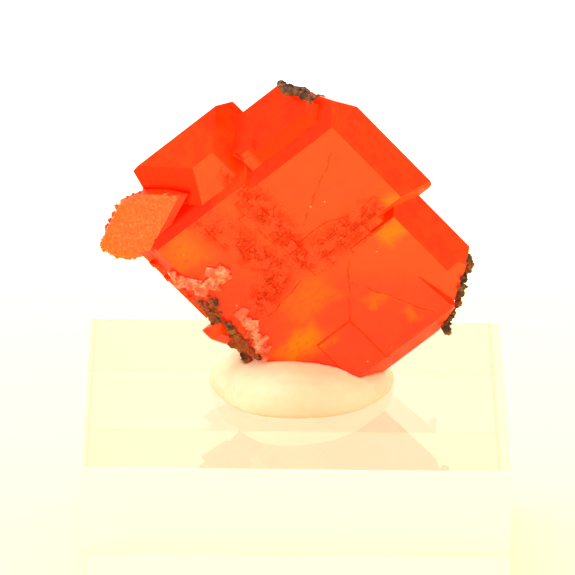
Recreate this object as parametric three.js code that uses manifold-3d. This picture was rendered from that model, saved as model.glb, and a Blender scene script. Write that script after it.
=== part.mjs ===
// Wulfenite on matrix: square tablets grown together in parallel, with crusts of dark matrix and pale calcite
// on their broken edges, held upright by putty on a clear acrylic block.
// Millimetres, +Z up, origin at the centre of the block's underside. The viewer stands on the -Y side.

import * as THREE from "three";
import { ConvexGeometry } from "three/addons/geometries/ConvexGeometry.js";
import { mergeVertices } from "three/addons/utils/BufferGeometryUtils.js";
import Module from "manifold-3d";

const wasm = await Module();
wasm.setup();

// Driving dimensions

const BASE = { side: 32, height: 15, chamfer: 0.15 };

const PUTTY = {
  centre: [0.36, 1.45],
  radius: 6.95,
  height: 3.35,
  rightSlump: 0.2, // share of the height lost at the right-hand end
  turns: 30,
  rings: 7,
};

// How the cluster stands: spun in its own plane onto a corner, leant towards the viewer, turned about +Z.
const STANCE = { spin: 42, lean: 9.6, turn: -2, origin: [0.21, -3.71, 29.18] };

const FIT_GAP = 0.08; // clearance between two pieces that touch
const BEVEL = 0.75; // outward run of a tablet's bevel for each millimetre it drops
const WORN = 0.4; // how far each corner of a tablet's rim is worn back along its sides
const BREAK_HEIGHT = 16.4; // the cluster's broken foot, hidden in the putty, above the table
const BIG = 80;

// The tablets, in the cluster's own frame: x and y along the crystal's two equal axes, z out of its flat faces.
// x and y bound the flat front face, level is its height, drop is the depth from it to the sharp rim, and back is
// the depth from the rim to the flat back. left gives that side's own run where it isn't BEVEL.
const TABLETS = {
  upperRight: { x: [-0.6, 7.8], y: [-2.5, 5.25], level: 0, drop: 2.3, back: 2.0 },
  right: { x: [-1.4, 6.2], y: [-12.3, -3.5], level: -0.2, drop: 2.35, back: 2.0 },
  centre: { x: [-9.2, -0.4], y: [-12.3, 5.85], level: -0.2, drop: 2.4, back: 2.3 },
  upperLeft: { x: [-4.35, -0.7], y: [6.0, 9.15], level: -0.8, drop: 2.5, back: 1.5, left: 1.36 },
  behindLeft: { x: [-3.5, 0.65], y: [2.0, 8.75], level: -2.65, drop: 1.75, back: 1.2 },
  top: { x: [0.5, 6.9], y: [0, 7.1], level: -0.95, drop: 2.75, back: 1.3 },
};

// Small parallel steps on the flat faces, and a low one that widens the left rim.
const STEPS = [
  { x: [-5.4, -2.25], y: [-12.2, -8.15], level: -0.02, drop: 0.35 },
  { x: [-2.0, 1.4], y: [-5.5, -0.5], level: -0.2, drop: 1.0 },
  { x: [0.7, 1.75], y: [6.65, 7.55], level: -1.0, drop: 0.5 },
  { x: [4.1, 5.3], y: [-3.3, -2.2], level: -0.3, drop: 0.6 },
  { x: [-9.0, -6.0], y: [-0.5, 4.5], level: -0.75, drop: 1.85, left: 1.25 },
];

// The facet that takes off the upper left tablet's outer corner: its normal and its distance from the cluster's
// origin. Then the broken edges, in the same way.
const CORNER_FACET = { normal: [-0.432, 0.236, 0.87], reach: 2.63 };
const TOP_BREAK = { normal: [0.85, 0.52, -0.45], reach: 10.47 };
const CRUST_BREAK = { normal: [0.902, 0.431, -0.35], reach: 9.75 };
const RIGHT_BREAK = { normal: [0.522, -0.853, -0.1], reach: 12.95 };
const LEFT_BREAK = { normal: [-0.707, 0.707, 0], reach: 10.9 };

// The chip at the right-hand corner: a wedge that opens outwards from its inner point along two arms.
const CHIP = { apex: [4.22, -8.54, -0.3], arms: [[8.9, -11.05, -1.9], [4.65, -15.0, -2.1]], lift: 4 };

// The tilted crystal on the left: its outline in its own plane, from the end of its ridge round to the start.
const LEFT_CRYSTAL = {
  at: [-10.09, 7.95, -2.31],
  spin: 23.3,
  tilt: -36,
  outline: [
    [4.99, -2.74],
    [4.1, -1.0],
    [2.9, 0.6],
    [0.9, 1.95],
    [-1.6, 1.98],
    [-3.55, 1.62],
    [-3.3, 0.15],
    [-2.7, -0.95],
    [-0.75, -2.74],
  ],
  edge: 0.35, // width of the bevel round its face
  drop: 0.45,
  back: 1.3,
};

const SATELLITE = { at: [-10.5, -3.1, -1.45], half: 0.7, drop: 0.72, turn: [0.5, -0.45, 0.28] };

// Low growth blocks where the main tablets meet: along a line from start to end, so many, of these sizes.
const SEAMS = [
  { start: [-1.5, 4.8], end: [-1.1, -3.0], count: 7, size: [0.7, 2.1], lift: [-0.16, -0.03], seed: 11 },
  { start: [-1.6, -3.2], end: [3.2, -2.9], count: 6, size: [0.7, 1.7], lift: [-0.18, -0.06], seed: 23 },
];

// Small crystals that roughen a rim: along a line, so many, of these radii.
const RIMS = [
  { start: [-10.8, 4.9, -2.2], end: [-10.8, -0.4, -2.2], count: 8, size: [0.2, 0.34], spread: 0.3, seed: 5 },
  { start: [-13.4, 7.9, -3.9], end: [-10.0, 9.5, -4.0], count: 4, size: [0.14, 0.24], spread: 0.25, seed: 8 },
];

// Crusts of matrix: grains scattered over a patch with one edge from start to end, and so deep and thick.
const CRUSTS = {
  matrix_top: {
    start: [6.55, 9.3, -1.6],
    end: [8.3, 5.7, -1.5],
    deep: 2.6,
    slide: [-0.32, -0.15],
    out: [0.902, 0.431, 0],
    thick: 0.3,
    count: 44,
    size: [0.28, 0.52],
    seed: 101,
  },
  matrix_right: {
    start: [7.5, -10.7, -1.15],
    end: [1.85, -14.05, -1.5],
    deep: 2.6,
    slide: [-0.05, 0.08],
    out: [0.542, -0.84, 0],
    thick: 0.4,
    count: 58,
    size: [0.26, 0.48],
    seed: 202,
  },
  matrix_foot: {
    start: [-8.7, 0.2, -0.25],
    end: [-9.45, -6.0, -0.4],
    deep: 1.05,
    slide: [-1.15, 0],
    out: [-0.6, 0, 0.8],
    thick: 0.5,
    count: 64,
    size: [0.3, 0.58],
    seed: 303,
  },
};

// Calcite: cleavage blocks in two small patches on the lower left edge.
const CALCITE = {
  calcite_upper: {
    blocks: [
      { at: [-6.65, 1.55, -0.32], half: 0.42 },
      { at: [-6.85, 0.85, -0.3], half: 0.46 },
      { at: [-7.35, 1.75, -0.32], half: 0.4 },
      { at: [-7.5, 1.1, -0.3], half: 0.42 },
      { at: [-7.95, 0.7, -0.3], half: 0.42 },
      { at: [-8.35, 1.35, -0.34], half: 0.42 },
      { at: [-8.9, 0.95, -0.36], half: 0.46 },
      { at: [-8.85, 1.9, -0.34], half: 0.46 },
      { at: [-9.2, 2.6, -0.5], half: 0.44 },
      { at: [-9.75, 2.35, -0.85], half: 0.46 },
      { at: [-9.9, 3.05, -1.0], half: 0.42 },
    ],
    seed: 41,
  },
  calcite_lower: {
    blocks: [
      { at: [-8.0, -2.45, -0.32], half: 0.46 },
      { at: [-8.25, -3.15, -0.3], half: 0.44 },
      { at: [-7.95, -3.75, -0.32], half: 0.42 },
      { at: [-8.55, -4.2, -0.32], half: 0.46 },
      { at: [-8.75, -5.0, -0.34], half: 0.46 },
      { at: [-8.2, -5.15, -0.34], half: 0.38 },
      { at: [-8.7, -5.75, -0.36], half: 0.44 },
    ],
    seed: 43,
  },
};

const FINISH = {
  acrylic: { color: 0xf4f6f0, roughness: 0.05, metalness: 0, transparent: true, opacity: 0.35 },
  putty: { color: 0xf6ead0, roughness: 0.55, metalness: 0 },
  wulfenite: { color: 0xfb5620, roughness: 0.15, metalness: 0 },
  matrix: { color: 0x4a3322, roughness: 0.85, metalness: 0 },
  calcite: { color: 0xf0c8ac, roughness: 0.4, metalness: 0 },
};

// Helpers

// The same stream of numbers from 0 to 1 each run.
function stream(seed) {
  let state = seed >>> 0;
  return () => {
    state = (state + 0x6d2b79f5) >>> 0;
    let t = Math.imul(state ^ (state >>> 15), state | 1);
    t ^= t + Math.imul(t ^ (t >>> 7), t | 61);
    return ((t ^ (t >>> 14)) >>> 0) / 4294967296;
  };
}

const between = ([low, high], share) => low + (high - low) * share;

function toSolid(geometry) {
  const bare = new THREE.BufferGeometry().setAttribute("position", geometry.getAttribute("position"));
  if (geometry.index) bare.setIndex(geometry.index);
  const merged = mergeVertices(bare, 1e-4);
  return new wasm.Manifold(
    new wasm.Mesh({
      numProp: 3,
      vertProperties: merged.getAttribute("position").array,
      triVerts: new Uint32Array(merged.index.array),
    }),
  );
}

function toGeometry(solid) {
  const { vertProperties, triVerts } = solid.getMesh();
  const shared = new THREE.BufferGeometry();
  shared.setAttribute("position", new THREE.BufferAttribute(new Float32Array(vertProperties), 3));
  shared.setIndex(new THREE.BufferAttribute(new Uint32Array(triVerts), 1));
  const faceted = shared.toNonIndexed();
  faceted.computeVertexNormals();
  return faceted;
}

const joined = (solids) => solids.reduce((whole, next) => whole.add(next));

const largest = (solid) => solid.decompose().sort((p, q) => q.volume() - p.volume())[0];

// Takes off everything beyond a plane.
function breakAway(solid, { normal, reach }, grow = 0) {
  const block = new THREE.BoxGeometry(BIG, BIG, BIG).translate(0, 0, BIG / 2 + reach + grow);
  const turn = new THREE.Quaternion().setFromUnitVectors(
    new THREE.Vector3(0, 0, 1),
    new THREE.Vector3(...normal).normalize(),
  );
  return solid.subtract(toSolid(block.applyQuaternion(turn)));
}

// Moves each side of an outline out by its own distance and meets the sides again at the corners.
function widen(outline, distances) {
  const sides = outline.map((point, i) => {
    const next = outline[(i + 1) % outline.length];
    const length = Math.hypot(next[0] - point[0], next[1] - point[1]);
    return [(next[1] - point[1]) / length, (point[0] - next[0]) / length];
  });
  return outline.map((point, i) => {
    const before = (i + outline.length - 1) % outline.length;
    const [a, b] = [sides[before], sides[i]];
    const [da, db] = [distances[before], distances[i]];
    const cross = a[0] * b[1] - a[1] * b[0];
    return [point[0] + (da * b[1] - db * a[1]) / cross, point[1] + (db * a[0] - da * b[0]) / cross];
  });
}

// Rounds the corners of an outline by taking them back along both their sides.
function roundCorners(outline, reach) {
  return outline.flatMap((point, i) => {
    const ends = [outline[(i + outline.length - 1) % outline.length], outline[(i + 1) % outline.length]];
    const [before, after] = ends.map((end) => {
      const share = reach / Math.hypot(end[0] - point[0], end[1] - point[1]);
      return [(end[0] - point[0]) * share, (end[1] - point[1]) * share];
    });
    const shoulder = [0, 1].map((axis) => point[axis] + (before[axis] + after[axis]) * 0.29);
    return [[point[0] + before[0], point[1] + before[1]], shoulder, [point[0] + after[0], point[1] + after[1]]];
  });
}

// The corners of a tablet: a flat front face, bevels down to a sharp rim, and bevels in again to a flat back.
function tabletCorners(outline, runs, { level, drop, back = drop, worn = 0 }, grow = 0) {
  const layer = (points, z) => points.map(([x, y]) => new THREE.Vector3(x, y, z));
  const face = widen(outline, runs.map(() => grow));
  const rim = widen(outline, runs.map((run) => run * drop + grow));
  const behind = widen(outline, runs.map((run) => run * (drop - back) + grow));
  return [
    ...layer(face, level + grow),
    ...layer(worn > 0 ? roundCorners(rim, worn) : rim, level - drop),
    ...layer(behind, level - drop - back - grow),
  ];
}

function squareCorners({ x, y, left = BEVEL, ...depths }, grow) {
  const outline = [
    [x[0], y[0]],
    [x[1], y[0]],
    [x[1], y[1]],
    [x[0], y[1]],
  ];
  return tabletCorners(outline, [BEVEL, BEVEL, BEVEL, left], depths, grow);
}

const hull = (corners) => toSolid(new ConvexGeometry(corners));

const squareTablet = (sizes, grow) => hull(squareCorners(sizes, grow));

const wornTablet = (sizes, grow) => squareTablet({ ...sizes, worn: WORN }, grow);

// Wulfenite

function leftCrystal(grow) {
  const { at, spin, tilt, outline, edge, drop, back } = LEFT_CRYSTAL;
  const face = widen(outline, outline.map(() => -edge));
  const runs = outline.map(() => edge / drop);
  const flat = toGeometry(hull(tabletCorners(face, runs, { level: 0, drop, back }, grow)));
  flat.rotateX(THREE.MathUtils.degToRad(tilt));
  flat.rotateZ(THREE.MathUtils.degToRad(spin));
  return toSolid(flat.translate(...at));
}

// The space of the chip, a little smaller where the crystals are grown.
function chip(grow) {
  const { apex, arms, lift } = CHIP;
  const floor = [apex, ...arms].map(([x, y, z]) => new THREE.Vector3(x, y, z + grow));
  const above = floor.map((point) => point.clone().setZ(lift));
  return toSolid(new ConvexGeometry([...floor, ...above]));
}

function seamBlocks({ start, end, count, size, lift, seed }, grow) {
  const random = stream(seed);
  return Array.from({ length: count }, (_, i) => {
    const along = (i + 0.5) / count;
    const middle = [between([start[0], end[0]], along), between([start[1], end[1]], along)];
    const half = [between(size, random()) / 2, between(size, random()) / 2];
    const shift = (random() - 0.5) * 0.9;
    const level = between(lift, random());
    return squareTablet(
      {
        x: [middle[0] + shift - half[0], middle[0] + shift + half[0]],
        y: [middle[1] - half[1], middle[1] + half[1]],
        level,
        drop: 0.5,
      },
      grow,
    );
  });
}

function rimCrystals({ start, end, count, size, spread, seed }, grow) {
  const random = stream(seed);
  return Array.from({ length: count }, (_, i) => {
    const along = (i + random()) / count;
    const radius = between(size, random()) + grow;
    const crystal = new THREE.OctahedronGeometry(radius * 1.25).scale(1, 1, 0.75);
    crystal.rotateZ(Math.PI / 4).rotateX((random() - 0.5) * 0.9).rotateY((random() - 0.5) * 0.9);
    const place = start.map((s, axis) => between([s, end[axis]], along) + (random() - 0.5) * spread);
    return toSolid(crystal.translate(...place));
  });
}

function clusterFrame() {
  const { spin, lean, turn, origin } = STANCE;
  const degrees = THREE.MathUtils.degToRad;
  return new THREE.Matrix4()
    .makeTranslation(...origin)
    .multiply(new THREE.Matrix4().makeRotationZ(degrees(turn)))
    .multiply(new THREE.Matrix4().makeRotationX(degrees(90 + lean)))
    .multiply(new THREE.Matrix4().makeRotationZ(degrees(spin)));
}

const standing = clusterFrame();

function wulfenite(grow = 0) {
  const t = TABLETS;
  const upperRight = breakAway(wornTablet(t.upperRight, grow), TOP_BREAK, grow);
  const top = breakAway(wornTablet(t.top, grow), CRUST_BREAK, grow);
  const centre = breakAway(wornTablet(t.centre, grow), LEFT_BREAK, grow);
  const lower = wornTablet(t.right, grow).add(centre);
  const upperLeft = hull([...squareCorners(t.upperLeft, grow), ...squareCorners(t.behindLeft, grow)]);
  const grown = joined([
    upperRight,
    top,
    breakAway(lower, RIGHT_BREAK, grow).subtract(chip(grow)),
    breakAway(upperLeft, CORNER_FACET, grow),
    leftCrystal(grow),
    ...STEPS.map((step) => squareTablet(step, grow)),
    ...SEAMS.flatMap((seam) => seamBlocks(seam, grow)),
    ...RIMS.flatMap((rim) => rimCrystals(rim, grow)),
  ]);
  const down = new THREE.Vector3(0, 0, -1).transformDirection(standing.clone().invert());
  const foot = { normal: down.toArray(), reach: STANCE.origin[2] - BREAK_HEIGHT };
  return breakAway(grown, foot, grow);
}

function satellite(grow = 0) {
  const { at, half, drop, turn } = SATELLITE;
  const block = toGeometry(squareTablet({ x: [-half, half], y: [-half, half], level: drop, drop }, grow));
  block.applyQuaternion(new THREE.Quaternion().setFromEuler(new THREE.Euler(...turn)));
  return toSolid(block.translate(...at));
}

// Matrix and calcite

function crust({ start, end, deep, slide, out, thick, count, size, seed }, grow = 0) {
  const random = stream(seed);
  const grains = Array.from({ length: count }, (_, i) => {
    const along = (i + random()) / count;
    const inward = random() * deep;
    const proud = (random() - 0.35) * thick;
    const radius = between(size, random()) + grow;
    const grain = new THREE.IcosahedronGeometry(radius, 0);
    grain.rotateX(random() * Math.PI).rotateY(random() * Math.PI).scale(1, 0.75 + 0.5 * random(), 1);
    const retreat = [slide[0] * inward, slide[1] * inward, -inward];
    const place = start.map((s, axis) => between([s, end[axis]], along) + proud * out[axis] + retreat[axis]);
    return toSolid(grain.translate(...place));
  });
  return joined(grains);
}

function calcite({ blocks, seed }, grow = 0) {
  const random = stream(seed);
  const rhombs = blocks.map(({ at, half }) => {
    const sides = [0, 1, 2].map(() => 2 * (half * between([0.8, 1.15], random()) + grow));
    const lean = new THREE.Matrix4().makeShear(0, 0.22, 0, 0, 0, 0.16);
    const block = new THREE.BoxGeometry(...sides).applyMatrix4(lean);
    block.rotateZ(random() * Math.PI).rotateX((random() - 0.5) * 1.2).rotateY((random() - 0.5) * 1.2);
    return toSolid(block.translate(...at));
  });
  return joined(rhombs);
}

// Putty and base

// A pressed mound: a round-shouldered profile turned about +Z, slumping to the right.
function puttyMound() {
  const { radius, height, turns, rings, rightSlump, centre } = PUTTY;
  const profile = [new THREE.Vector2(0, 0)];
  for (let i = 0; i <= rings; i++) {
    const angle = (i / rings) * (Math.PI / 2);
    profile.push(new THREE.Vector2(radius * Math.cos(angle) ** 0.7, height * Math.sin(angle) ** 0.9));
  }
  profile[profile.length - 1].x = 0;
  const mound = new THREE.LatheGeometry(profile, turns).rotateX(Math.PI / 2);
  const place = mound.getAttribute("position");
  for (let i = 0; i < place.count; i++) {
    const [x, y, z] = [place.getX(i), place.getY(i), place.getZ(i)];
    const bearing = Math.atan2(y, x);
    const lobes = 1 + 0.035 * Math.sin(3 * bearing + 0.7) + 0.02 * Math.sin(5 * bearing);
    const slump = 1 - rightSlump * THREE.MathUtils.smoothstep(x, 0, radius);
    place.setXYZ(i, x * lobes, y * lobes, z * slump);
  }
  return toSolid(mound.translate(...centre, BASE.height + FIT_GAP));
}

function acrylicBlock() {
  const { side, height, chamfer } = BASE;
  const half = side / 2;
  const corners = [];
  for (const [inset, z] of [
    [chamfer, 0],
    [0, chamfer],
    [0, height - chamfer],
    [chamfer, height],
  ]) {
    for (const [sx, sy] of [
      [1, 1],
      [1, -1],
      [-1, -1],
      [-1, 1],
    ]) {
      corners.push(new THREE.Vector3(sx * (half - inset), sy * (half - inset), z));
    }
  }
  return new ConvexGeometry(corners);
}

// The part

function piece(name, geometry, finish) {
  const mesh = new THREE.Mesh(geometry, new THREE.MeshStandardMaterial(finish));
  mesh.name = name;
  return mesh;
}

function build() {
  const crystals = largest(wulfenite());
  const around = { crystals: wulfenite(FIT_GAP) };
  const satelliteCrystal = largest(satellite().subtract(around.crystals));
  around.satellite = satellite(FIT_GAP);

  const crusts = {};
  for (const [name, patch] of Object.entries(CRUSTS)) {
    crusts[name] = largest(crust(patch).subtract(around.crystals).subtract(around.satellite));
    around[name] = crust(patch, FIT_GAP);
  }
  const patches = {};
  for (const [name, patch] of Object.entries(CALCITE)) {
    patches[name] = largest(calcite(patch).subtract(around.crystals).subtract(around.matrix_foot));
    around[name] = calcite(patch, FIT_GAP);
  }

  const standingAround = joined(Object.values(around));
  const hollow = toSolid(toGeometry(standingAround).applyMatrix4(standing));
  const putty = largest(puttyMound().subtract(hollow));

  const specimen = new THREE.Group();
  specimen.applyMatrix4(standing);
  specimen.add(piece("wulfenite_crystals", toGeometry(crystals), FINISH.wulfenite));
  specimen.add(piece("satellite_crystal", toGeometry(satelliteCrystal), FINISH.wulfenite));
  for (const [name, solid] of Object.entries(crusts)) {
    specimen.add(piece(name, toGeometry(solid), FINISH.matrix));
  }
  for (const [name, solid] of Object.entries(patches)) {
    specimen.add(piece(name, toGeometry(solid), FINISH.calcite));
  }

  const part = new THREE.Group();
  part.add(piece("acrylic_base", acrylicBlock(), FINISH.acrylic));
  part.add(piece("putty", toGeometry(putty), FINISH.putty));
  part.add(specimen);
  return part;
}

export default build();
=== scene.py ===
"""Looks for a cluster of wulfenite tablets, set in putty on a clear acrylic block.

Meshes are in metres, as the frame has them. Marks and grains on a surface are given in millimetres.
"""

import math
import random

import bmesh
import bpy
from mathutils import Matrix, Vector, noise


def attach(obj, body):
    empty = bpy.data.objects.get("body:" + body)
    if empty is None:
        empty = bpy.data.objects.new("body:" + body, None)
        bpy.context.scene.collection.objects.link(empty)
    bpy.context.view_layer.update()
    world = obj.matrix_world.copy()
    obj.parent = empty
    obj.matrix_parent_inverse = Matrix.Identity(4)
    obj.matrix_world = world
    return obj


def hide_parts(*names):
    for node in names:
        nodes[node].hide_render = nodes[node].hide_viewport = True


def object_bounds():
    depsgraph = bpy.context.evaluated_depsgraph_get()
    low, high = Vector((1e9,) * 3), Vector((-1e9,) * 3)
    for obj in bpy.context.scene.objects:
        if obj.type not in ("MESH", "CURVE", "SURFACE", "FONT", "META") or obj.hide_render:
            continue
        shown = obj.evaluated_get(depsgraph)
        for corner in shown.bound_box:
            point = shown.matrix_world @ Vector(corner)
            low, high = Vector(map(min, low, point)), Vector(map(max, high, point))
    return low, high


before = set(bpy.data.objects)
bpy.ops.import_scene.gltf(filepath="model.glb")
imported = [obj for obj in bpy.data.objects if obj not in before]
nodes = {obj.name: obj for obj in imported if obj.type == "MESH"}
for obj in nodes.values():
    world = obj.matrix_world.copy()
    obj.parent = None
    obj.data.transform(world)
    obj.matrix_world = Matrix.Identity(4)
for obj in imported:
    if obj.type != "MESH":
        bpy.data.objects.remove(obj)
cad_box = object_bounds()

MM = 0.001
FULL_TURN = 6.28
QUARTER_TURN = 1.57

# How the cluster stands, as the solids have it: its own frame has x and y along the tablets' edges
# and z out of their flat faces.
CLUSTER_ORIGIN = Vector((0.21, -3.71, 29.18)) * MM
CLUSTER_ASIDE = -2.0
CLUSTER_LEAN = 9.6
CLUSTER_SPIN = 42.0
CLUSTER_TURN = (
    Matrix.Rotation(math.radians(CLUSTER_ASIDE), 3, "Z")
    @ Matrix.Rotation(math.radians(90.0 + CLUSTER_LEAN), 3, "X")
    @ Matrix.Rotation(math.radians(CLUSTER_SPIN), 3, "Z")
)

# The tilted crystal on the left and the facet on the upper left tablet's outer corner, in the cluster's frame.
TILTED_MIDDLE = Vector((-10.09, 7.95, -2.31))
TILTED_TURN = Matrix.Rotation(math.radians(23.3), 3, "Z") @ Matrix.Rotation(math.radians(-36.0), 3, "X")
TILTED_FACE = TILTED_TURN @ Vector((0.0, 0.0, 1.0))
CORNER_FACET = Vector((-0.432, 0.236, 0.87))


class Wire:
    """A socket of a node tree. Sums of wires add the Math nodes that work them out."""

    def __init__(self, tree, socket=None):
        self.tree = tree
        self.socket = socket

    def make(self, kind, settings=None, inputs=None, output=0):
        """Adds a node: its settings first, then its sockets' values or links. Gives one of its outputs."""
        node = self.tree.nodes.new(kind)
        for name, value in (settings or {}).items():
            if name == "stops":
                elements = node.color_ramp.elements
                while len(elements) < len(value):
                    elements.new(1.0)
                for element, (position, colour) in zip(elements, value):
                    element.position = position
                    element.color = (*colour, 1.0)
            else:
                setattr(node, name, value)
        for name, value in (inputs or {}).items():
            if isinstance(value, Wire):
                self.tree.links.new(value.socket, node.inputs[name])
            else:
                node.inputs[name].default_value = value
        return Wire(self.tree, node.outputs[output])

    def sum(self, operation, *values):
        return self.make("ShaderNodeMath", {"operation": operation}, dict(enumerate(values)))

    def __add__(self, other):
        return self.sum("ADD", self, other)

    def __radd__(self, other):
        return self.sum("ADD", other, self)

    def __sub__(self, other):
        return self.sum("SUBTRACT", self, other)

    def __rsub__(self, other):
        return self.sum("SUBTRACT", other, self)

    def __mul__(self, other):
        return self.sum("MULTIPLY", self, other)

    def __rmul__(self, other):
        return self.sum("MULTIPLY", other, self)

    def __truediv__(self, other):
        return self.sum("DIVIDE", self, other)

    def __rtruediv__(self, other):
        return self.sum("DIVIDE", other, self)

    def __or__(self, other):
        """The larger of two."""
        return self.sum("MAXIMUM", self, other)

    def __ror__(self, other):
        return self.sum("MAXIMUM", other, self)

    def __and__(self, other):
        """The smaller of two."""
        return self.sum("MINIMUM", self, other)

    def __rand__(self, other):
        return self.sum("MINIMUM", other, self)

    def __neg__(self):
        return self.sum("MULTIPLY", self, -1.0)

    def __abs__(self):
        return self.sum("ABSOLUTE", self)


def rise(wire, low, high):
    """0 below low and 1 above high, smooth between them. Falls instead where low is the larger."""
    ends = {"From Min": low, "From Max": high}
    return wire.make("ShaderNodeMapRange", {"interpolation_type": "SMOOTHSTEP"}, {"Value": wire, **ends})


def blend(mask, under, over):
    """One colour over another by a mask."""
    sides = {}
    for place, colour in ((6, under), (7, over)):
        sides[place] = colour if isinstance(colour, Wire) else (*colour, 1.0)
    return mask.make("ShaderNodeMix", {"data_type": "RGBA"}, {0: mask, **sides}, output=2)


def grain(place, scale, detail=3.0, rough=0.5, warp=0.0):
    """Soft noise from 0 to 1."""
    sockets = {"Vector": place, "Scale": scale, "Detail": detail, "Roughness": rough, "Distortion": warp}
    return place.make("ShaderNodeTexNoise", None, sockets)


def cells(place, scale, metric="EUCLIDEAN", output="Distance"):
    """Cells of about one over scale across."""
    settings = {"feature": "F1", "distance": metric}
    return place.make("ShaderNodeTexVoronoi", settings, {"Vector": place, "Scale": scale}, output=output)


def other(wire, output):
    """Another output of the node that a wire comes from."""
    return Wire(wire.tree, wire.socket.node.outputs[output])


def split(vector):
    """The three numbers of a vector."""
    first = vector.make("ShaderNodeSeparateXYZ", None, {0: vector})
    return [other(first, axis) for axis in range(3)]


def along(vector, direction):
    """How far a vector reaches along a direction."""
    settings = {"operation": "DOT_PRODUCT"}
    return vector.make("ShaderNodeVectorMath", settings, {0: vector, 1: direction}, output="Value")


def vector_sum(operation, *values):
    """A sum of vectors, of which the first is a wire."""
    return values[0].make("ShaderNodeVectorMath", {"operation": operation}, dict(enumerate(values)))


def most(masks):
    """The strongest of several masks."""
    strongest = masks[0]
    for mask in masks[1:]:
        strongest = strongest | mask
    return strongest


def new_finish(name):
    """A bare material and its shader."""
    material = bpy.data.materials.new(name)
    material.use_nodes = True
    shader = material.node_tree.nodes["Principled BSDF"]
    return material, shader, Wire(material.node_tree)


def feed(shader, **sockets):
    """Sets or links the shader's sockets; a name's underscores stand for spaces."""
    tree = shader.id_data
    for name, value in sockets.items():
        socket = shader.inputs[name.replace("_", " ")]
        if isinstance(value, Wire):
            tree.links.new(value.socket, socket)
        else:
            socket.default_value = value


def absorb(material, colour, density):
    """Colour that deepens with the way light takes through the piece."""
    tree = material.node_tree
    sockets = {"Color": (*colour, 1.0), "Density": density}
    volume = Wire(tree).make("ShaderNodeVolumeAbsorption", None, sockets)
    tree.links.new(volume.socket, tree.nodes["Material Output"].inputs["Volume"])


def raised(height, distance, strength):
    """A bump from a height, for a shader's Normal."""
    sockets = {"Height": height, "Distance": distance, "Strength": strength}
    return height.make("ShaderNodeBump", None, sockets)


def in_millimetres(start):
    """Place on a piece, in millimetres."""
    place = start.make("ShaderNodeTexCoord", None, None, output="Object")
    return place.make("ShaderNodeVectorMath", {"operation": "SCALE"}, {0: place, "Scale": 1.0 / MM})


def in_cluster(start):
    """Place in millimetres and surface direction, both in the cluster's own frame."""
    back = {"vector_type": "TEXTURE"}
    turn = CLUSTER_TURN.to_euler("XYZ")
    place = start.make("ShaderNodeTexCoord", None, None, output="Object")
    sockets = {"Vector": place, "Location": CLUSTER_ORIGIN, "Rotation": turn, "Scale": (MM, MM, MM)}
    facing = start.make("ShaderNodeNewGeometry", None, None, output="Normal")
    facing = facing.make("ShaderNodeMapping", back, {"Vector": facing, "Rotation": turn})
    return place.make("ShaderNodeMapping", back, sockets), facing


def near_line(flat, start, end):
    """Distance to a straight line between two points of the flat faces."""
    run = Vector((end[0] - start[0], end[1] - start[1], 0.0))
    way = vector_sum("SUBTRACT", flat, (*start, 0.0))
    share = along(way, run / run.length_squared)
    share = share.make("ShaderNodeMath", {"operation": "ADD", "use_clamp": True}, {0: share, 1: 0.0})
    foot = share.make("ShaderNodeVectorMath", {"operation": "SCALE"}, {0: run, "Scale": share})
    gap = vector_sum("SUBTRACT", way, foot)
    return other(vector_sum("LENGTH", gap), "Value")


def oblong(flat, centre, half):
    """1 at the edge of an oblong along the tablets' edges, less inside it and more outside."""
    way = vector_sum("SUBTRACT", flat, (*centre, 0.0))
    way = vector_sum("ABSOLUTE", vector_sum("MULTIPLY", way, (1.0 / half[0], 1.0 / half[1], 0.0)))
    across, up, _ = split(way)
    return across | up


# Marks on the tablets' flat faces, in millimetres in the cluster's frame. Lines have a start and an end.
YELLOW_ZONES = [  # middle, half sizes, strength
    ((7.2, -2.4), (0.75, 0.5), 0.8),
    ((5.3, -4.3), (1.05, 0.85), 0.8),
    ((-3.4, -4.7), (2.0, 1.2), 0.45),
    ((-6.6, -7.4), (2.0, 1.1), 1.0),
    ((-8.0, 4.3), (1.3, 1.2), 0.45),
    ((0.5, -8.1), (0.55, 0.5), 0.5),
    ((1.7, -10.7), (0.45, 0.7), 0.5),
]
SEAMS = [  # where tablets meet and growth was disturbed
    ((-0.5, 6.3), (-1.2, -2.0)),
    ((-1.0, -2.0), (5.4, -2.2)),
    ((-4.6, 5.2), (-3.3, -1.2)),
    ((-6.0, -2.6), (-3.6, -1.4)),
]
CRACKS = [
    ((6.3, 3.6), (-0.7, -0.3)),
    ((6.4, -1.3), (3.9, -1.2)),
    ((3.9, -1.2), (1.6, -0.4)),
    ((1.6, -0.4), (-2.1, -0.6)),
    ((1.5, -3.7), (-2.2, -8.1)),
    ((0.1, -5.7), (3.1, -11.7)),
    ((-6.6, -3.9), (-2.7, -3.2)),
    ((6.4, -3.4), (1.8, -3.8)),
]
STAINS = [  # edges where matrix has stained the crystal brown
    ((6.9, 9.4), (8.0, 6.9)),
    ((7.3, -10.3), (2.6, -13.2)),
    ((-8.6, 0.3), (-9.2, -6.0)),
    ((-10.9, 4.9), (-10.6, -0.4)),
]
YELLOW_EDGES = [  # the tilted crystal's tip: start, end, and how the yellow fades
    ((-13.9, 7.6), (-10.2, 9.8), (1.7, 0.1)),
    ((-13.9, 7.6), (-11.5, 5.7), (1.3, 0.1)),
]

# How a mark fades: gone at the first distance from its line, full at the second.
SEAM_FADE = (1.9, 0.4)
CRACK_FADE = (0.1, 0.02)
STAIN_FADE = (1.0, 0.2)
ZONE_FADE = (1.6, 0.3)

# How far a face has to look one way: not counted below the first number, fully counted above the second.
FLAT_FACE = (0.85, 0.97)
SLANTING = (0.3, 0.6)
TILTED_FACE_ONLY = (0.97, 0.99)
CORNER_FACET_ONLY = (0.985, 0.995)

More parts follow.
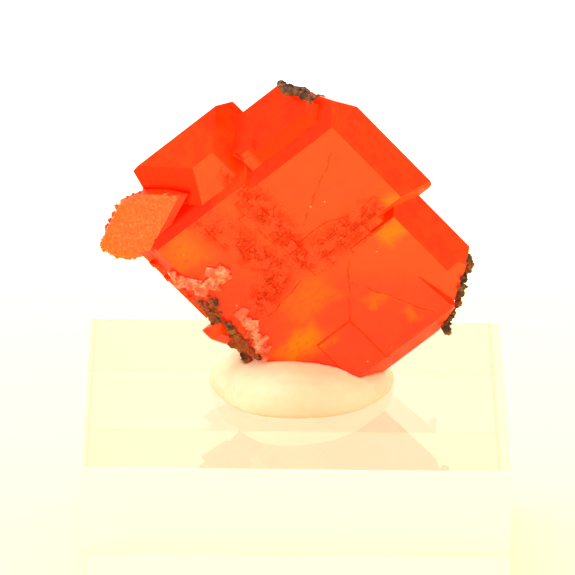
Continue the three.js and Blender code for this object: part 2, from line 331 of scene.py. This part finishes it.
# How many of a mark there are to a millimetre.
CLOUDS = 0.45
SWAYS = 0.8
PATCHES = 0.8
VEILS = 1.7
SPECKS = 4.6
GRITS = 4.5
DOTS = 0.9
BLOCKS = 1.2
STEPS = 1.6
MOSAIC = {"Scale": 1.0, "Mortar Size": 0.045, "Brick Width": 1.3, "Row Height": 0.75}

FACE_ORANGE = (0.98, 0.036, 0.017)
FACE_WARM = (0.98, 0.042, 0.015)
# Painted shade, the next two: the deeper reds of the bevels and of the upward faces.
BEVEL_PAINTED_SHADE = (0.98, 0.036, 0.001)
TOP_PAINTED_SHADE = (0.98, 0.02, 0.0)
STRIP_RED = (0.95, 0.01, 0.001)
# Painted shade on the left bevels, the corner facet and the upper left notch; also the bevels' own mottle.
DEEP_RED_SHADE_AND_MOTTLE = (0.95, 0.008, 0.0)
BLOTCH_RED = (0.95, 0.018, 0.003)
STROKE_RED = (0.3, 0.006, 0.0)
# Painted light: the paler colour of the lower bevels.
LOW_BEVEL_PAINTED_LIGHT = (0.98, 0.06, 0.006)
ZONE_YELLOW = (0.98, 0.17, 0.001)
TILTED_FACE_PALE = (0.98, 0.115, 0.02)
TILTED_EDGE_YELLOW = (0.96, 0.12, 0.001)
SPECK_BROWN = (0.3, 0.03, 0.005)
FLECK_PALE = (0.98, 0.4, 0.2)
STAIN_BROWN = (0.4, 0.045, 0.006)
WULFENITE_DEPTH = (1.0, 0.4, 0.12)
WULFENITE_DENSITY = 60.0


class TabletSurface:
    """A spot on the tablets: its place in the cluster, the way it faces, and what its marks share."""

    def __init__(self, start):
        self.place, self.facing = in_cluster(start)
        self.x, self.y, _ = split(self.place)
        self.nx, self.ny, nz = split(self.facing)
        self.front = rise(abs(nz), *FLAT_FACE)
        self.upward = rise(self.ny, *SLANTING)
        self.lower = rise(-(self.nx & self.ny), *SLANTING)
        self.tilted = rise(along(self.facing, TILTED_FACE), *TILTED_FACE_ONLY)
        self.corner_facet = rise(along(self.facing, CORNER_FACET), *CORNER_FACET_ONLY)
        self.strip = self.front * rise(self.y, 5.5, 5.9) * rise(self.x, 1.0, 1.6)

        sway = vector_sum("SUBTRACT", other(grain(self.place, SWAYS), "Color"), (0.5, 0.5, 0.5))
        self.ripple = split(sway)[2]
        self.flat = vector_sum("MULTIPLY", self.place, (1.0, 1.0, 0.0))
        self.swayed = vector_sum("ADD", self.flat, vector_sum("MULTIPLY", sway, (1.8, 1.8, 0.0)))
        self.nearly = vector_sum("ADD", self.flat, vector_sum("MULTIPLY", sway, (0.5, 0.5, 0.0)))

        self.cloud = grain(self.place, CLOUDS)
        self.patches = grain(self.place, PATCHES, 4.0, 0.7)
        self.blotches = rise(self.patches, 0.48, 0.58)
        self.grit = grain(self.place, GRITS, 3.0, 0.7)
        self.down = grain(vector_sum("MULTIPLY", self.place, (2.0, 1.0, 1.0)), VEILS, 2.6, 0.55)
        self.across = grain(vector_sum("MULTIPLY", self.place, (1.0, 2.0, 1.0)), VEILS, 2.6, 0.55)


def seam_marks(spot):
    """How disturbed the growth is at a seam, the dark strokes along the tablets' edges, and the specks."""
    seam = most([rise(near_line(spot.swayed, *line), *SEAM_FADE) for line in SEAMS]) * spot.front
    veils = most([rise(abs(veil - 0.5), 0.045, 0.02) for veil in (spot.down, spot.across)])
    bricks = {"Vector": spot.nearly, **MOSAIC}
    mosaic = spot.place.make("ShaderNodeTexBrick", {"offset": 0.4}, bricks, output="Fac")
    strokes = veils * rise(spot.patches, 0.45, 0.5) | mosaic * rise(spot.patches, 0.5, 0.55)
    specks = rise(grain(spot.place, SPECKS, 2.0), 0.6, 0.64)
    return seam, strokes, specks


def healed_cracks(spot):
    """Healed cracks, which come and go."""
    cracks = most([rise(near_line(spot.nearly, *line), *CRACK_FADE) for line in CRACKS])
    return cracks * spot.front * rise(spot.blotches + spot.cloud, 0.35, 0.7)


def yellow_growth(spot):
    """Yellow growth zones, blocky like the crystals themselves."""
    zones = []
    for middle, half, strength in YELLOW_ZONES:
        zones.append(rise(oblong(spot.swayed, middle, half), *ZONE_FADE) * strength)
    return most(zones) * spot.front * rise(spot.across, 0.2, 0.5)


def yellow_tip(spot):
    """The yellow edge round the tilted crystal's tip."""
    edges = [rise(near_line(spot.flat, start, end), *fade) for start, end, fade in YELLOW_EDGES]
    outward = rise(spot.y - spot.x, 15.0, 17.5)
    return outward * most(edges) * rise(spot.cloud, 0.3, 0.5)


def face_colour(spot):
    """The colour of each face by the way it looks, with painted shade and light on the bevels, and its growth
    zones.
    """
    # Painted shade: the notch at the upper left, between the tilted crystal and the tablet.
    upper_left_painted_shade = spot.upward * rise(spot.y - spot.x, 8.6, 10.0) * rise(spot.y, 8.0, 7.4)
    mottled = (1.0 - spot.front) * rise(spot.patches, 0.42, 0.62) * 0.5
    colour = blend(rise(spot.cloud, 0.35, 0.65), FACE_ORANGE, FACE_WARM)
    colour = blend(spot.strip, colour, STRIP_RED)
    # Painted shade: the bevels facing right or up, and the upward faces to the right, are a deeper red for the
    # shade in them.
    colour = blend(rise(spot.nx | spot.ny, *SLANTING), colour, BEVEL_PAINTED_SHADE)
    colour = blend(spot.upward * rise(spot.x, -0.6, 0.4), colour, TOP_PAINTED_SHADE)
    # Painted light: the lower bevels are paler, for the light they catch from below.
    colour = blend(rise(-spot.ny, *SLANTING), colour, LOW_BEVEL_PAINTED_LIGHT)
    # Painted shade: the left bevels, the corner facet and the upper left notch are deep red; the mottle on the
    # bevels below is the crystal's own.
    colour = blend(rise(-spot.nx, *SLANTING) | spot.corner_facet, colour, DEEP_RED_SHADE_AND_MOTTLE)
    colour = blend(upper_left_painted_shade, colour, DEEP_RED_SHADE_AND_MOTTLE)
    colour = blend(mottled, colour, DEEP_RED_SHADE_AND_MOTTLE)
    colour = blend(yellow_growth(spot), colour, ZONE_YELLOW)
    colour = blend(spot.tilted, colour, TILTED_FACE_PALE)
    return blend(yellow_tip(spot), colour, TILTED_EDGE_YELLOW)


def marked(spot, colour, seam, strokes, specks, cracks):
    """The marks over a face's colour: seams, cracks, the tilted face's grit, stains and dots."""
    colour = blend(seam * spot.blotches * 0.9, colour, BLOTCH_RED)
    colour = blend(seam * (strokes * 0.85 | specks * 0.75) | cracks * 0.9, colour, STROKE_RED)
    colour = blend(spot.tilted * rise(spot.grit, 0.52, 0.74) * 0.4, colour, FLECK_PALE)
    colour = blend(spot.tilted * rise(spot.grit, 0.46, 0.3) * 0.5, colour, BLOTCH_RED)
    stain = most([rise(near_line(spot.swayed, *line), *STAIN_FADE) for line in STAINS])
    colour = blend(stain * spot.blotches * 0.7, colour, STAIN_BROWN)
    spread = cells(spot.place, DOTS)
    tint = split(other(spread, "Color"))[0]
    dot = rise(spread, 0.1, 0.05) * 0.6
    colour = blend(dot * rise(tint, 0.5, 0.45), colour, SPECK_BROWN)
    return blend(dot * rise(tint, 0.8, 0.85) * spot.front, colour, FLECK_PALE)


def relief(spot, seam, strokes, specks, cracks):
    """Blocks and torn marks on the seams, pits on the tilted face, a faint ripple, steps on the bevels."""
    blocks = cells(spot.place, BLOCKS, "CHEBYCHEV")
    pits = rise(spot.grit, 0.6, 0.3)
    steps = grain(vector_sum("MULTIPLY", spot.place, (0.2, 0.2, 3.0)), STEPS, 2.0)
    height = seam * (blocks * 0.5 - strokes * 0.25 - specks * 0.2) - cracks * 0.3 - spot.tilted * pits * 1.5
    return height + spot.ripple * 0.3 + steps * ((1.0 - spot.front) * 0.35 + spot.lower * 1.2)


def wulfenite_finish():
    material, shader, start = new_finish("wulfenite")
    spot = TabletSurface(start)
    seam, strokes, specks = seam_marks(spot)
    cracks = healed_cracks(spot)
    colour = marked(spot, face_colour(spot), seam, strokes, specks, cracks)
    feed(
        shader,
        Base_Color=colour,
        Roughness=0.14 + seam * 0.25 + spot.tilted * 0.25 + spot.lower * 0.4 + spot.cloud * 0.1,
        Metallic=spot.corner_facet * 0.6 | seam * strokes * 0.45 | spot.strip * 0.4,
        IOR=1.7,
        Transmission_Weight=0.35,
        Specular_Tint=(1.0, 0.5, 0.12, 1.0),
        # Painted glow: the crystal gives off its colour as light, standing in for light that comes through it.
        Emission_Color=colour,
        Emission_Strength=0.25,
        Normal=raised(relief(spot, seam, strokes, specks, cracks), 0.09 * MM, 0.7),
    )
    absorb(material, WULFENITE_DEPTH, WULFENITE_DENSITY)
    return material


SMALL_CRYSTAL_RED = (0.85, 0.025, 0.0)
SMALL_CRYSTAL_ORANGE = (0.88, 0.05, 0.001)


def small_crystal_finish():
    material, shader, start = new_finish("small_crystal")
    place = in_millimetres(start)
    cloud = grain(place, 1.1)
    colour = blend(rise(cloud, 0.35, 0.65), SMALL_CRYSTAL_RED, SMALL_CRYSTAL_ORANGE)
    colour = blend(rise(grain(place, 3.4, 2.0), 0.6, 0.68) * 0.5, colour, STROKE_RED)
    feed(
        shader,
        Base_Color=colour,
        Roughness=0.35 + cloud * 0.2,
        IOR=1.5,
        Transmission_Weight=0.2,
        Specular_Tint=(1.0, 0.4, 0.1, 1.0),
        # Painted glow: the crystal gives off its colour as light, standing in for light that comes through it.
        Emission_Color=colour,
        Emission_Strength=0.2,
        Normal=raised(cloud, 0.1 * MM, 0.5),
    )
    absorb(material, WULFENITE_DEPTH, WULFENITE_DENSITY)
    return material


MATRIX_BROWNS = [(0.3, (0.02, 0.007, 0.003)), (0.5, (0.09, 0.032, 0.011)), (0.7, (0.36, 0.12, 0.03))]
MATRIX_RUST = (0.5, 0.07, 0.006)
MATRIX_PALE = (0.42, 0.12, 0.02)


def matrix_finish(name, rusty):
    """Matrix: a mottled dark brown with rust and pale grains, over more of it where rusty is larger."""
    material, shader, start = new_finish(name)
    place = in_millimetres(start)
    mottle = grain(place, 1.6, 4.0, 0.65)
    colour = mottle.make("ShaderNodeValToRGB", {"stops": MATRIX_BROWNS}, {"Fac": mottle})
    rust = rise(grain(place, 1.3), 0.62 - rusty, 0.72 - rusty)
    colour = blend(rust * 0.75, colour, MATRIX_RUST)
    pale = rise(cells(place, 1.9, output="Color"), 0.95 - rusty, 1.0 - rusty)
    colour = blend(pale * 0.8, colour, MATRIX_PALE)
    glint = rise(cells(place, 3.2), 0.12, 0.06)
    feed(
        shader,
        Base_Color=colour,
        Roughness=0.85 - glint * 0.45,
        Normal=raised(grain(place, 7.0, 4.0, 0.6), 0.1 * MM, 0.8),
    )
    return material


CALCITE_ROSE = (0.86, 0.15, 0.04)
CALCITE_PALE = (0.88, 0.43, 0.22)
CALCITE_RED_STAIN = (0.88, 0.07, 0.006)
CALCITE_BROWN_STAIN = (0.3, 0.07, 0.015)


def calcite_finish():
    material, shader, start = new_finish("calcite")
    place = in_millimetres(start)
    cloud = grain(place, 1.5)
    stain = grain(place, 1.1, 4.0, 0.7)
    colour = blend(rise(cloud, 0.38, 0.6), CALCITE_ROSE, CALCITE_PALE)
    colour = blend(rise(stain, 0.47, 0.56) * 0.85, colour, CALCITE_RED_STAIN)
    colour = blend(rise(stain, 0.44, 0.34) * 0.8, colour, CALCITE_BROWN_STAIN)
    feed(
        shader,
        Base_Color=colour,
        Roughness=0.3 + cloud * 0.25,
        IOR=1.6,
        Transmission_Weight=0.3,
        # Painted glow: the calcite gives off a little of its colour as light.
        Emission_Color=colour,
        Emission_Strength=0.06,
        Normal=raised(grain(place, 5.0), 0.05 * MM, 0.5),
    )
    return material


# Painted light: the two ends are lighter, to take out the shade on them.
PUTTY_LEFT_PAINTED_LIGHT = (0.97, 0.72, 0.46)
PUTTY_MIDDLE = (0.96, 0.54, 0.3)
PUTTY_RIGHT_PAINTED_LIGHT = (0.97, 0.66, 0.38)
PUTTY_SMEAR = (0.96, 0.54, 0.25)


def putty_finish():
    """Putty: cream, deeper in the middle and where it was smeared; its ends are painted lighter to take out
    the shade that falls on them.
    """
    material, shader, start = new_finish("putty")
    place = in_millimetres(start)
    x = split(place)[0]
    smears = grain(place, 0.9, warp=0.8)
    colour = blend(rise(x, -5.5, 1.0), PUTTY_LEFT_PAINTED_LIGHT, PUTTY_MIDDLE)
    colour = blend(rise(x, 1.5, 6.0), colour, PUTTY_RIGHT_PAINTED_LIGHT)
    colour = blend(rise(smears, 0.45, 0.75) * 0.3, colour, PUTTY_SMEAR)
    feed(
        shader,
        Base_Color=colour,
        Roughness=0.34 + smears * 0.2,
        IOR=1.45,
        Subsurface_Weight=0.2,
        Subsurface_Radius=(1.0, 0.8, 0.5),
        Subsurface_Scale=1.5 * MM,
        # Painted glow: the putty gives off its colour as light, which flattens its shading.
        Emission_Color=colour,
        Emission_Strength=0.15,
        Normal=raised(smears, 0.15 * MM, 0.5),
    )
    return material


ACRYLIC_DEPTH = (1.0, 0.93, 0.88)
ACRYLIC_DENSITY = 25.0
FROST_DULL = (0.76, 0.74, 0.42)
FROST_BRIGHT = (0.8, 0.78, 0.5)
# Painted glow of the sanded edges, standing in for the light in the block.
FROST_GLOW = (1.0, 0.97, 0.7, 1.0)
UPPER_EDGE_GLOW = 0.15
LOWER_EDGE_GLOW = 0.6


def acrylic_finish():
    """Clear acrylic, a little dulled in places by handling."""
    material, shader, start = new_finish("acrylic")
    dulled = rise(grain(in_millimetres(start), 1.1, 3.0, 0.7), 0.55, 0.8)
    feed(
        shader,
        Base_Color=(1.0, 1.0, 1.0, 1.0),
        Roughness=0.01 + dulled * 0.03,
        IOR=1.49,
        Transmission_Weight=1.0,
    )
    absorb(material, ACRYLIC_DEPTH, ACRYLIC_DENSITY)
    return material


def sanded_finish(name, glow):
    """The block's narrow edges, sanded to a frost, with a painted glow standing in for the light in the block.
    """
    material, shader, start = new_finish(name)
    frost = grain(in_millimetres(start), 6.0)
    feed(
        shader,
        Base_Color=blend(frost, FROST_DULL, FROST_BRIGHT),
        Roughness=0.5 + frost * 0.3,
        # Painted glow for the light that the block carries to its edges.
        Emission_Color=FROST_GLOW,
        Emission_Strength=glow,
        Normal=raised(frost, 0.02 * MM, 0.5),
    )
    return material


def welded(node):
    """A copy of a node's solid with its faces joined up."""
    form = bmesh.new()
    form.from_mesh(nodes[node].data)
    bmesh.ops.remove_doubles(form, verts=form.verts, dist=1e-7)
    return form


def piece(name, form, material, node, smooth=False):
    """Turns a form into a shown piece that stands for a node."""
    mesh = bpy.data.meshes.new(name)
    form.normal_update()
    form.to_mesh(mesh)
    form.free()
    for polygon in mesh.polygons:
        polygon.use_smooth = smooth
    mesh.materials.append(material)
    shown = bpy.data.objects.new(name, mesh)
    bpy.context.scene.collection.objects.link(shown)
    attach(shown, "root")
    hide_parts(node)
    return shown


def remeshed(form, voxel):
    """The same form as one even skin of small faces."""
    mesh = bpy.data.meshes.new("skin")
    form.to_mesh(mesh)
    form.free()
    carrier = bpy.data.objects.new("skin", mesh)
    bpy.context.scene.collection.objects.link(carrier)
    even = carrier.modifiers.new("even", "REMESH")
    even.mode = "VOXEL"
    even.voxel_size = voxel
    evaluated = carrier.evaluated_get(bpy.context.evaluated_depsgraph_get())
    skin = bmesh.new()
    skin.from_mesh(bpy.data.meshes.new_from_object(evaluated))
    bpy.data.objects.remove(carrier)
    return skin


def softened(skin, rounds):
    """Takes the corners off a skin."""
    axes = {"use_axis_x": True, "use_axis_y": True, "use_axis_z": True}
    for _ in range(rounds):
        bmesh.ops.smooth_vert(skin, verts=skin.verts, factor=0.5, **axes)
    skin.normal_update()


def surface_points(form, count, chance):
    """Points spread evenly over a form, with the way out there."""
    bmesh.ops.triangulate(form, faces=form.faces)
    faces = list(form.faces)
    weights = [face.calc_area() for face in faces]
    points = []
    for face in chance.choices(faces, weights, k=count):
        a, b, c = (corner.co for corner in face.verts)
        u, v = chance.random(), chance.random()
        if u + v > 1.0:
            u, v = 1.0 - u, 1.0 - v
        points.append((a + (b - a) * u + (c - a) * v, face.normal.copy()))
    return points


# Crystal edges: how far they are rounded, and which count as edges.
EDGE_ROUNDING = 0.05 * MM
EDGE_SHORTEST = 0.4 * MM
EDGE_SHARP = math.radians(14)
FLAT_JOIN = math.radians(0.6)

# Where tiny crystals grow, in millimetres: round the tilted crystal's rim and along the lower left edge.
TILTED_RIM = [  # the tilted crystal's outline in its own plane
    (2.9, 0.6),
    (0.9, 1.95),
    (-1.6, 1.98),
    (-3.55, 1.62),
    (-3.3, 0.15),
    (-2.7, -0.95),
    (-0.75, -2.74),
]
TILTED_RIM_INSET = 0.97
TILTED_RIM_DEPTH = -0.45
TILTED_RIM_GRAINS = 46
LOWER_LEFT_EDGE = [Vector((-10.75, 4.9, -2.25)), Vector((-10.75, -0.6, -2.25))]
LOWER_LEFT_GRAINS = 40
RIM_GRAIN_SIZE = (0.05, 0.13)


def faceted_crystal(node):
    """A crystal's solid with its edges very slightly rounded."""
    form = welded(node)
    bmesh.ops.dissolve_limit(form, angle_limit=FLAT_JOIN, verts=form.verts, edges=list(form.edges))
    long = [edge for edge in form.edges if edge.is_manifold and edge.calc_length() > EDGE_SHORTEST]
    sharp = [edge for edge in long if edge.calc_face_angle(0.0) > EDGE_SHARP]
    bmesh.ops.bevel(
        form,
        geom=sharp,
        offset=EDGE_ROUNDING,
        offset_type="OFFSET",
        segments=1,
        profile=0.5,
        affect="EDGES",
        clamp_overlap=True,
    )
    return form


def rim_grains(form, rim, count, chance):
    """Tiny blocky crystals grown along an edge, given as points in the cluster's frame, in millimetres."""
    for _ in range(count):
        step = chance.randrange(len(rim) - 1)
        middle = rim[step].lerp(rim[step + 1], chance.random())
        middle = middle + Vector([chance.uniform(-0.1, 0.1) for _ in range(3)])
        half = chance.uniform(*RIM_GRAIN_SIZE)
        spin = Matrix.Rotation(chance.uniform(0, QUARTER_TURN), 3, "Z")
        turn = spin @ Matrix.Rotation(chance.uniform(-0.5, 0.5), 3, "X")
        squash = Vector([chance.uniform(0.6, 1.2) for _ in range(3)])
        for corner in bmesh.ops.create_cube(form, size=2 * half)["verts"]:
            local = turn @ (corner.co * squash) + middle
            corner.co = CLUSTER_TURN @ (local * MM) + CLUSTER_ORIGIN


def tablets(material):
    """The tablets, with tiny crystals round the tilted one's rim and along the lower left edge."""
    chance = random.Random(6)
    form = faceted_crystal("wulfenite_crystals")
    rim = []
    for x, y in TILTED_RIM:
        inner = Vector((x * TILTED_RIM_INSET, y * TILTED_RIM_INSET, TILTED_RIM_DEPTH))
        rim.append(TILTED_TURN @ inner + TILTED_MIDDLE)
    rim_grains(form, rim, TILTED_RIM_GRAINS, chance)
    rim_grains(form, LOWER_LEFT_EDGE, LOWER_LEFT_GRAINS, chance)
    piece("wulfenite_tablets", form, material, "wulfenite_crystals")


CRUST_VOXEL = 0.09 * MM
CALCITE_VOXEL = 0.05 * MM
CALCITE_LEAN = Matrix(((1, 0.25, 0), (0, 1, 0.2), (0, 0, 1)))
CALCITE_RHOMB_SIZE = (0.14, 0.3)
PUTTY_VOXEL = 0.16 * MM
PUTTY_FOOT = 15.0
PUTTY_EASE = 1.2


def crust(name, node, material, count, size, seed):
    """Matrix: a rough skin over the solid with loose angular grains bedded in it, sizes in millimetres."""
    chance = random.Random(seed)
    form = welded(node)
    places = surface_points(form, count, chance)
    skin = remeshed(form, CRUST_VOXEL)
    shift = Vector((seed, 0.0, 0.0))
    for corner in skin.verts:
        bump = noise.fractal(corner.co / MM * 2.6 + shift, 0.8, 2.1, 3)
        corner.co += corner.normal * (bump * 0.11 - 0.04) * MM
    for centre, out in places:
        radius = chance.uniform(*size) * MM
        added = bmesh.ops.create_icosphere(skin, subdivisions=1, radius=radius)["verts"]
        angle = chance.uniform(0, FULL_TURN)
        axis = Vector((chance.random(), chance.random(), 1)).normalized()
        turn = Matrix.Rotation(angle, 3, axis)
        squash = Vector((chance.uniform(0.7, 1.2), chance.uniform(0.7, 1.2), chance.uniform(0.6, 1.0)))
        middle = centre - out * radius * chance.uniform(0.5, 0.9)
        for corner in added:
            corner.co = turn @ (corner.co * chance.uniform(0.8, 1.15)) * squash + middle
    for corner in skin.verts:
        corner.co.z = min(corner.co.z, cad_box[1][2])
    piece(name, skin, material, node)


def calcite_patch(name, node, material, count, seed):
    """Calcite: the cleavage blocks worn and uneven, with smaller rhombs between them."""
    chance = random.Random(seed)
    form = welded(node)
    places = surface_points(form, count, chance)
    for centre, out in places:
        half = chance.uniform(*CALCITE_RHOMB_SIZE) * MM
        axis = Vector((chance.random(), chance.random(), 0.5)).normalized()
        turn = Matrix.Rotation(chance.uniform(0, FULL_TURN), 3, axis)
        sunk = out * half * 0.7
        for corner in bmesh.ops.create_cube(form, size=2 * half)["verts"]:
            corner.co = turn @ (CALCITE_LEAN @ corner.co) * chance.uniform(0.75, 1.1) + centre - sunk
    skin = remeshed(form, CALCITE_VOXEL)
    softened(skin, 2)
    shift = Vector((seed, 0.0, 0.0))
    for corner in skin.verts:
        wear = noise.fractal(corner.co / MM * 2.4 + shift, 0.9, 2.0, 3)
        corner.co += corner.normal * (wear * 0.06 - 0.01) * MM
    piece(name, skin, material, node)


def pressed_putty(material):
    """Putty: the mound with a hand-pressed, softly uneven skin that closes up to what it holds."""
    skin = remeshed(welded("putty"), PUTTY_VOXEL)
    softened(skin, 4)
    for corner in skin.verts:
        local = corner.co / MM
        dents = noise.fractal(local * 0.28 + Vector((3.1, 0.0, 0.0)), 1.0, 2.0, 2)
        creases = noise.fractal(local * 0.9 + Vector((0.0, 7.7, 0.0)), 1.0, 2.0, 2)
        free = min(1.0, max(0.0, (local.z - PUTTY_FOOT) / PUTTY_EASE))
        corner.co += corner.normal * (0.1 + free * (dents * 0.16 + creases * 0.05)) * MM
    piece("pressed_putty", skin, material, "putty", smooth=True)


def clear_block(acrylic, upper_edges, lower_edges):
    """The block, with the narrow slanting edges round its top and its foot sanded."""
    form = welded("acrylic_base")
    for face in form.faces:
        face.normal_update()
        if max(abs(side) for side in face.normal) > 0.99:
            face.material_index = 0
        elif face.normal.z > 0.0:
            face.material_index = 1
        else:
            face.material_index = 2
    shown = piece("clear_block", form, acrylic, "acrylic_base")
    shown.data.materials.append(upper_edges)
    shown.data.materials.append(lower_edges)


matrix = matrix_finish("matrix", 0.08)
rusty_matrix = matrix_finish("rusty_matrix", 0.22)
calcite = calcite_finish()

tablets(wulfenite_finish())
satellite = faceted_crystal("satellite_crystal")
piece("small_crystal", satellite, small_crystal_finish(), "satellite_crystal")
crust("top_crust", "matrix_top", matrix, 170, (0.09, 0.24), 1)
crust("right_crust", "matrix_right", matrix, 190, (0.09, 0.24), 2)
crust("foot_crust", "matrix_foot", rusty_matrix, 220, (0.08, 0.24), 3)
calcite_patch("upper_calcite", "calcite_upper", calcite, 12, 4)
calcite_patch("lower_calcite", "calcite_lower", calcite, 10, 5)
pressed_putty(putty_finish())
upper_edges = sanded_finish("upper_edges", UPPER_EDGE_GLOW)
lower_edges = sanded_finish("lower_edges", LOWER_EDGE_GLOW)
clear_block(acrylic_finish(), upper_edges, lower_edges)


# The table: its size and drop in metres, and its blue along y, as shares of the run in millimetres.
FLOOR_SIZE = 1.5
FLOOR_DROP = 0.1 * MM
FLOOR_RUN = 150.0
FLOOR_BLUES = [(0.0, 0.375), (0.27, 0.425), (0.4, 0.46), (0.5, 0.5), (0.75, 0.9)]
FLOOR_RED_GREEN = (0.97, 0.965)
FLOOR_SHADE = (0.55, 0.55, 0.55)
# Under the block: the table's own colour is dark, with a painted glow in its place that fills in the shadow.
UNDER_BLOCK = (17.0, 15.5)
UNDER_BLOCK_DARK = (0.1, 0.1, 0.06)
UNDER_BLOCK_GLOW = (0.97, 0.83, 0.52)

TENT_GLOW = 1.2
TENT_SIDE_DROP = 0.5
TENT_WHITE = (1.0, 1.0, 0.99)
TENT_WARM = (1.0, 0.99, 0.72)
LAMP_PLACE = Vector((-0.15, 0.05, 0.6))
LAMP_TARGET = Vector((0.0, 0.0, 0.02))
LAMP_SIZE = 0.5
LAMP_POWER = 3.6

# The photograph's own view: a long lens from a little above, in degrees, metres and millimetres of sensor.
CAMERA_ELEVATION = 20.01
CAMERA_ROLL = 0.75
CAMERA_ASIDE = -0.39
CAMERA_TARGET = Vector((-0.68, 0.0, 23.56)) * MM
CAMERA_DISTANCE = 0.5924
CAMERA_SENSOR = 36.0
CAMERA_LENS = 490.84


def floor_finish():
    """A pale table that is warmer towards the viewer, with painted light under the block that fills in its
    shadow.
    """
    material, shader, start = new_finish("floor")
    place = in_millimetres(start)
    x, y, _ = split(place)
    stops = [(share, (*FLOOR_RED_GREEN, blue)) for share, blue in FLOOR_BLUES]
    colour = y.make("ShaderNodeValToRGB", {"stops": stops}, {"Fac": y / FLOOR_RUN})
    under = rise(abs(x) | abs(y), *UNDER_BLOCK)
    feed(
        shader,
        # Painted light under the block: a dark base colour with a glow that fills in the shadow there.
        Base_Color=blend(under, vector_sum("MULTIPLY", colour, FLOOR_SHADE), UNDER_BLOCK_DARK),
        Roughness=0.6,
        Emission_Color=blend(under, colour, UNDER_BLOCK_GLOW),
        Emission_Strength=1.0,
        Normal=raised(grain(place, 0.4), 0.1 * MM, 0.1),
    )
    return material


def stage_floor():
    form = bmesh.new()
    bmesh.ops.create_grid(form, x_segments=1, y_segments=1, size=FLOOR_SIZE)
    mesh = bpy.data.meshes.new("floor")
    form.to_mesh(mesh)
    form.free()
    mesh.materials.append(floor_finish())
    floor = bpy.data.objects.new("floor", mesh)
    floor.location.z = -FLOOR_DROP
    bpy.context.scene.collection.objects.link(floor)


def overhead_lamp():
    lamp = bpy.data.lights.new("overhead", "AREA")
    lamp.shape = "DISK"
    lamp.size = LAMP_SIZE
    lamp.energy = LAMP_POWER
    holder = bpy.data.objects.new("overhead", lamp)
    holder.location = LAMP_PLACE
    holder.rotation_euler = (LAMP_TARGET - LAMP_PLACE).to_track_quat("-Z", "Y").to_euler()
    bpy.context.scene.collection.objects.link(holder)


def light_tent():
    """A white tent all round, open and dimmer to the left and right, and warmer behind."""
    world = bpy.data.worlds.new("tent")
    bpy.context.scene.world = world
    world.use_nodes = True
    way = Wire(world.node_tree).make("ShaderNodeTexCoord", None, None, output="Generated")
    x, y, z = split(way)
    sides = rise(abs(x), 0.7, 0.9) * rise(z, 0.08, 0.2)
    shade = blend(rise(y, 0.3, 0.8), TENT_WHITE, TENT_WARM)
    feed(world.node_tree.nodes["Background"], Strength=TENT_GLOW - sides * TENT_SIDE_DROP, Color=shade)


def photo_camera():
    """A camera at the photograph's own view."""
    height = math.radians(CAMERA_ELEVATION)
    roll = math.radians(CAMERA_ROLL)
    away = Vector((0.0, math.cos(height), -math.sin(height)))
    level = Vector((1.0, 0.0, 0.0))
    upright = Vector((0.0, math.sin(height), math.cos(height)))
    right = level * math.cos(roll) + upright * math.sin(roll)
    up = upright * math.cos(roll) - level * math.sin(roll)
    aside = Matrix.Rotation(math.radians(CAMERA_ASIDE), 3, "Z")
    turn = aside @ Matrix((right, up, -away)).transposed()
    camera = bpy.data.cameras.new("camera")
    camera.sensor_width = CAMERA_SENSOR
    camera.lens = CAMERA_LENS
    holder = bpy.data.objects.new("camera", camera)
    holder.rotation_euler = turn.to_euler()
    holder.location = CAMERA_TARGET - (aside @ away) * CAMERA_DISTANCE
    bpy.context.scene.collection.objects.link(holder)
    bpy.context.scene.camera = holder


stage_floor()
light_tent()
overhead_lamp()
photo_camera()
bpy.context.scene.view_settings.view_transform = "Standard"
